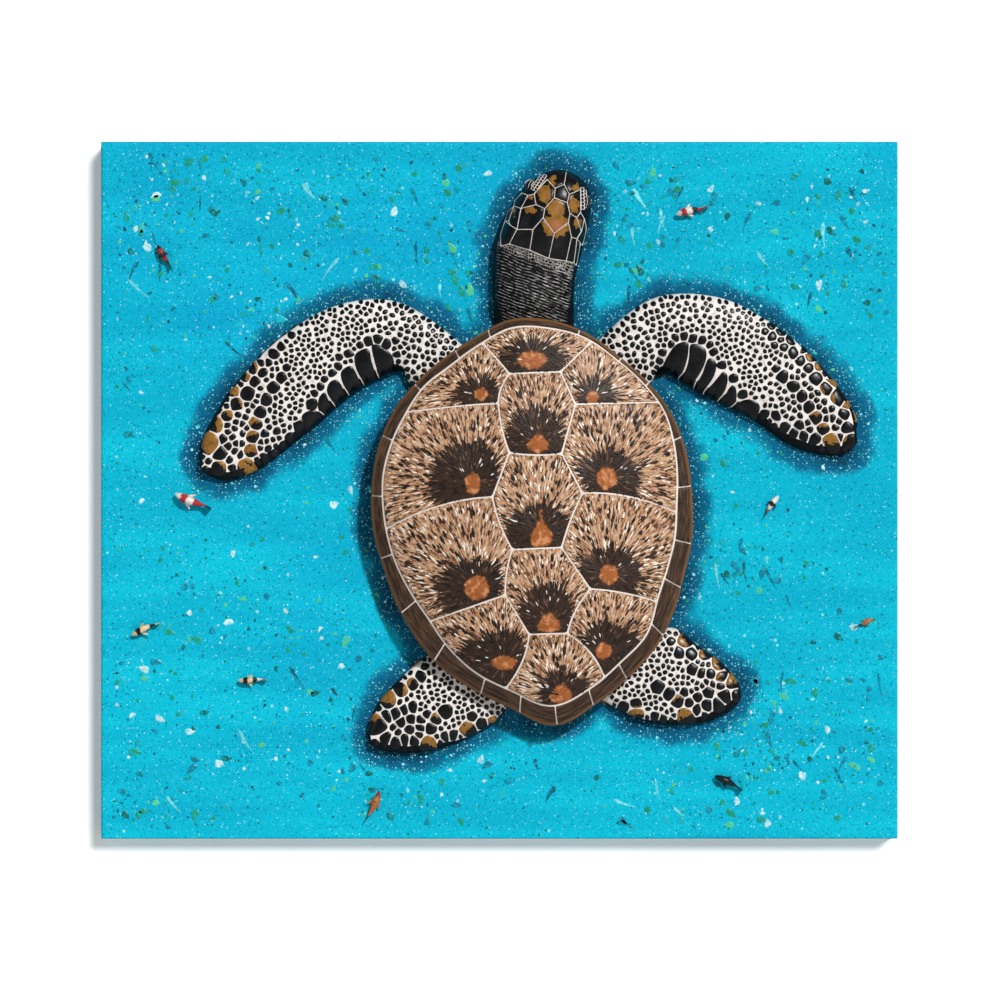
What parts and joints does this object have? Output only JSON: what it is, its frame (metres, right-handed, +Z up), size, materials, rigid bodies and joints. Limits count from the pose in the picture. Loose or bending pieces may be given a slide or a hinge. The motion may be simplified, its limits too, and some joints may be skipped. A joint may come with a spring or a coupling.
{
  "type": "sea turtle relief panel",
  "caption": "Wall-hung stretched canvas with a sculpted, hand-painted sea turtle in relief, swimming upward with its front flippers spread, and small fish around it.",
  "frame": {"origin": "on the back of the canvas's top flap, midway along it, where the panel rests against the wall", "axes": "+Z up, +X to the right of someone who looks at the picture, +Y into the wall; the turtle faces -Y"},
  "size_m": [0.4064, 0.0542, 0.3556],
  "materials": {
    "painted_canvas": "primed cotton under sea-blue acrylic, matt to satin",
    "pine": "bare planed pine",
    "steel": "thin stamped steel",
    "painted_shell": "cast resin, hand-painted browns under satin varnish",
    "painted_skin": "cast resin, painted white, black and ochre under satin varnish",
    "eye_gloss": "black gloss"
  },
  "bodies": {
    "root": {"canvas": "painted_canvas", "bar_top": "pine", "bar_bottom": "pine", "bar_left": "pine", "bar_right": "pine", "hanger": "steel", "torso": "painted_skin", "carapace": "painted_shell", "neck": "painted_skin", "head": "painted_skin", "eye_left": "eye_gloss", "eye_right": "eye_gloss", "flipper_front_left": "painted_skin", "flipper_front_right": "painted_skin", "flipper_rear_left": "painted_skin", "flipper_rear_right": "painted_skin"}
  },
  "joints": []
}
